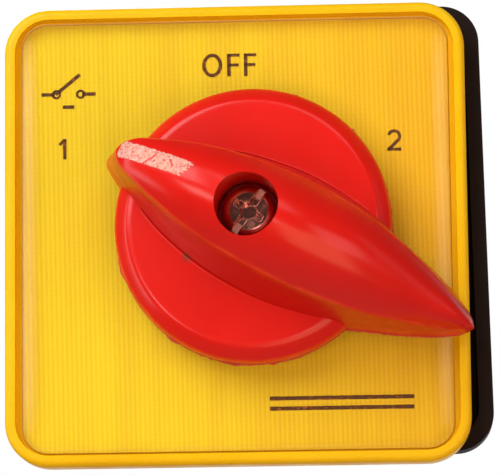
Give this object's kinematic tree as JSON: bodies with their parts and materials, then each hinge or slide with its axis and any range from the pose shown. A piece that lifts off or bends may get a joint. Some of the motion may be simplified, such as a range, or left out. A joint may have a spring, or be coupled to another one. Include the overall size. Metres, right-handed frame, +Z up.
{
  "type": "rotary isolator switch",
  "caption": "Panel-mounted rotary isolator switch: red pointed lever on a square yellow front plate, black base, and stacked cam-operated contact decks behind the panel.",
  "frame": {"origin": "centre of the four fixing holes, in the plane where the gasket meets the panel", "axes": "+Y along the shaft from the front to the rear, +Z up (the OFF mark is at the top), the front faces -Y"},
  "size_m": [0.0671, 0.0962, 0.065],
  "materials": {
    "red_plastic": "glossy moulded red plastic",
    "yellow_plastic": "glossy moulded yellow plastic",
    "legend_yellow": "printed yellow sheet with a fine ribbed texture",
    "clear_plastic": "clear moulded acrylic",
    "black_plastic": "fine-textured black thermoset",
    "natural_nylon": "natural nylon",
    "cam_plastic": "brown-red thermoplastic",
    "gasket_rubber": "soft black rubber",
    "plated_steel": "zinc plated steel",
    "spring_steel": "bright spring steel",
    "contact_brass": "stamped brass with silver tips"
  },
  "bodies": {
    "housing": {"base": "black_plastic", "panel_gasket": "gasket_rubber", "shaft_bush": "natural_nylon", "front_frame": "yellow_plastic", "legend_plate": "legend_yellow", "clear_cover": "clear_plastic", "latch_housing": "black_plastic", "detent_spring_upper": "spring_steel", "detent_spring_lower": "spring_steel", "deck_housing_1": "black_plastic", "fixed_contacts_1": "contact_brass", "clamp_washers_1": "plated_steel", "terminal_screws_1": "plated_steel", "contact_spring_upper_1": "spring_steel", "contact_spring_lower_1": "spring_steel", "deck_housing_2": "black_plastic", "fixed_contacts_2": "contact_brass", "clamp_washers_2": "plated_steel", "terminal_screws_2": "plated_steel", "contact_spring_upper_2": "spring_steel", "contact_spring_lower_2": "spring_steel", "deck_housing_3": "black_plastic", "fixed_contacts_3": "contact_brass", "clamp_washers_3": "plated_steel", "terminal_screws_3": "plated_steel", "contact_spring_upper_3": "spring_steel", "contact_spring_lower_3": "spring_steel", "rear_cover": "black_plastic", "tie_bolts": "plated_steel", "tie_nuts": "plated_steel"},
    "rotor": {"handle": "red_plastic", "handle_screw": "plated_steel", "spring_washer": "spring_steel", "shaft": "plated_steel", "star_wheel": "natural_nylon", "cam_1": "cam_plastic", "cam_2": "cam_plastic", "cam_3": "cam_plastic"},
    "contact_upper_1": {"plunger_upper_1": "natural_nylon", "bridge_upper_1": "contact_brass"},
    "contact_lower_1": {"plunger_lower_1": "natural_nylon", "bridge_lower_1": "contact_brass"},
    "contact_upper_2": {"plunger_upper_2": "natural_nylon", "bridge_upper_2": "contact_brass"},
    "contact_lower_2": {"plunger_lower_2": "natural_nylon", "bridge_lower_2": "contact_brass"},
    "contact_upper_3": {"plunger_upper_3": "natural_nylon", "bridge_upper_3": "contact_brass"},
    "contact_lower_3": {"plunger_lower_3": "natural_nylon", "bridge_lower_3": "contact_brass"}
  },
  "joints": [
    {"name": "switch_turn", "type": "hinge", "parent": "housing", "child": "rotor", "pos_m": [0, 0, 0], "axis": [0, 1, 0], "range_deg": [0, 120], "deforming": ["detent_spring_upper", "detent_spring_lower"]},
    {"name": "contact_upper_1_slide", "type": "slide", "parent": "housing", "child": "contact_upper_1", "axis": [0, 0, 1], "range_m": [0, 0.00301], "deforming": ["contact_spring_upper_1"]},
    {"name": "contact_lower_1_slide", "type": "slide", "parent": "housing", "child": "contact_lower_1", "axis": [0, 0, 1], "range_m": [0, 0.00301], "deforming": ["contact_spring_lower_1"]},
    {"name": "contact_upper_2_slide", "type": "slide", "parent": "housing", "child": "contact_upper_2", "axis": [0, 0, 1], "range_m": [0, 0.00301], "deforming": ["contact_spring_upper_2"]},
    {"name": "contact_lower_2_slide", "type": "slide", "parent": "housing", "child": "contact_lower_2", "axis": [0, 0, 1], "range_m": [0, 0.00301], "deforming": ["contact_spring_lower_2"]},
    {"name": "contact_upper_3_slide", "type": "slide", "parent": "housing", "child": "contact_upper_3", "axis": [0, 0, 1], "range_m": [0, 0.00301], "deforming": ["contact_spring_upper_3"]},
    {"name": "contact_lower_3_slide", "type": "slide", "parent": "housing", "child": "contact_lower_3", "axis": [0, 0, 1], "range_m": [0, 0.00301], "deforming": ["contact_spring_lower_3"]}
  ],
  "couplings": [
    {"joint": "contact_upper_1_slide", "follows": "switch_turn", "m_per_rad": 0.0014324},
    {"joint": "contact_lower_1_slide", "follows": "switch_turn", "m_per_rad": 0.0014324},
    {"joint": "contact_upper_2_slide", "follows": "switch_turn", "m_per_rad": 0.0014324},
    {"joint": "contact_lower_2_slide", "follows": "switch_turn", "m_per_rad": 0.0014324},
    {"joint": "contact_upper_3_slide", "follows": "switch_turn", "m_per_rad": 0.0014324},
    {"joint": "contact_lower_3_slide", "follows": "switch_turn", "m_per_rad": 0.0014324}
  ]
}
